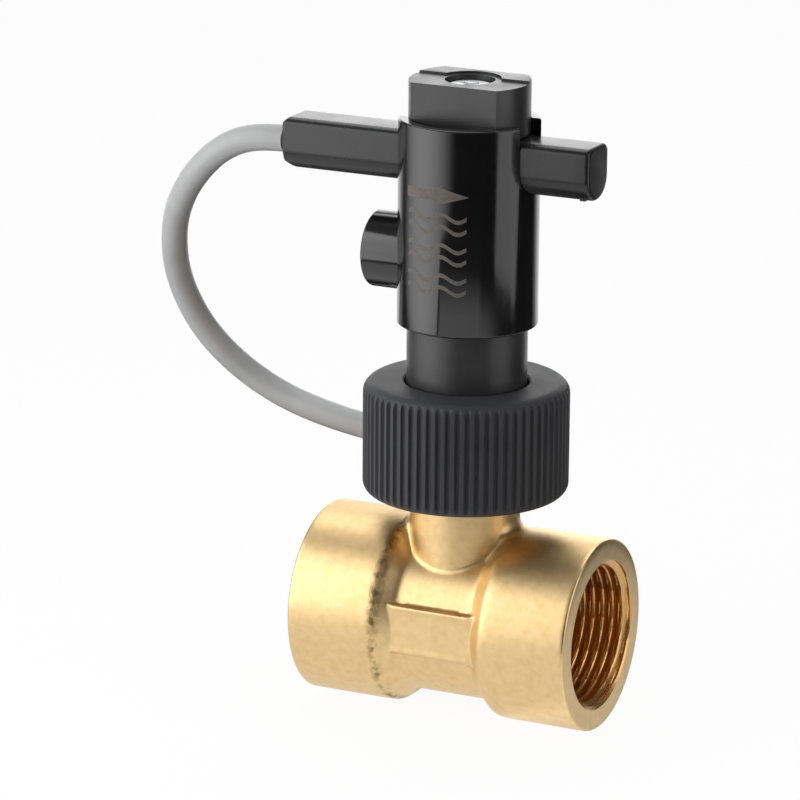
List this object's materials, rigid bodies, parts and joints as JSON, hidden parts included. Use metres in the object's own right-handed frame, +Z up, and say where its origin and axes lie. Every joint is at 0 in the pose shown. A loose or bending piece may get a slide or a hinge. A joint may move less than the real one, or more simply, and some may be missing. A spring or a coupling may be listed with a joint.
{
  "type": "paddle flow switch",
  "caption": "Paddle flow switch on a threaded brass tee: hinged paddle with magnet lever, sliding clamped reed carrier, ribbed union nut and cable.",
  "frame": {"origin": "centre of the inlet mouth, on the run's axis", "axes": "+X along the run in the flow direction, +Z up the branch towards the switch head, +Y completes the right-hand frame"},
  "size_m": [0.0944, 0.0984, 0.1131],
  "materials": {
    "brass": "forged and blasted, satin",
    "nut_plastic": "moulded, matte",
    "insert_plastic": "glass-filled, matte",
    "housing_plastic": "moulded, gloss",
    "carrier_plastic": "moulded, satin",
    "seal_rubber": "matte",
    "stainless": "brushed",
    "magnet": "sintered ferrite",
    "glass": "clear, greenish",
    "contact_metal": "tinned",
    "core_insulation": "coloured PVC",
    "zinc_steel": "bright zinc",
    "cable_jacket": "grey PVC, satin",
    "tie_nylon": "natural nylon"
  },
  "bodies": {
    "fitting": {"tee_body": "brass", "switch_insert": "insert_plastic", "spigot_seal": "seal_rubber", "pivot_pin": "stainless", "switch_housing": "housing_plastic", "reset_magnet": "magnet", "magnet_plug": "housing_plastic", "threaded_insert": "brass"},
    "nut": {"union_nut": "nut_plastic"},
    "paddle": {"paddle_lever": "insert_plastic", "paddle_blade": "stainless", "blade_rivets": "stainless", "lever_magnet": "magnet", "magnet_cap": "insert_plastic"},
    "reed_unit": {"reed_carrier": "carrier_plastic", "carrier_end_cap": "carrier_plastic", "cable_collar": "seal_rubber", "reed_glass": "glass", "reed_contacts": "contact_metal", "inner_cores": "core_insulation", "cable": "cable_jacket", "cable_coil": "cable_jacket", "cable_tail": "cable_jacket", "cable_tie": "tie_nylon", "core_ends": "core_insulation", "core_ferrules": "contact_metal"},
    "pad": {"clamp_pad": "stainless"},
    "screw": {"clamp_screw": "zinc_steel"}
  },
  "joints": [
    {"name": "paddle_swing", "type": "hinge", "parent": "fitting", "child": "paddle", "pos_m": [0.02635, 0, 0.027], "axis": [0, -1, 0], "range_deg": [0, 13], "stiffness_Nm_per_rad": 0.01, "springref_deg": -11.46},
    {"name": "carrier_slide", "type": "slide", "parent": "fitting", "child": "reed_unit", "axis": [1, 0, 0], "range_m": [-0.005, 0.005]},
    {"name": "union_nut_turn", "type": "hinge", "parent": "fitting", "child": "nut", "pos_m": [0.02635, 0, 0.033], "axis": [0, 0, 1], "range_deg": [0, 360]},
    {"name": "pad_lift", "type": "slide", "parent": "fitting", "child": "pad", "axis": [0, 0, 1], "range_m": [0, 0.000486]},
    {"name": "clamp_screw_turn", "type": "hinge", "parent": "pad", "child": "screw", "pos_m": [0.02635, 0, 0.09], "axis": [0, 0, 1], "range_deg": [0, 250]}
  ],
  "couplings": [
    {"joint": "clamp_screw_turn", "follows": "pad_lift", "rad_per_m": 8976}
  ]
}
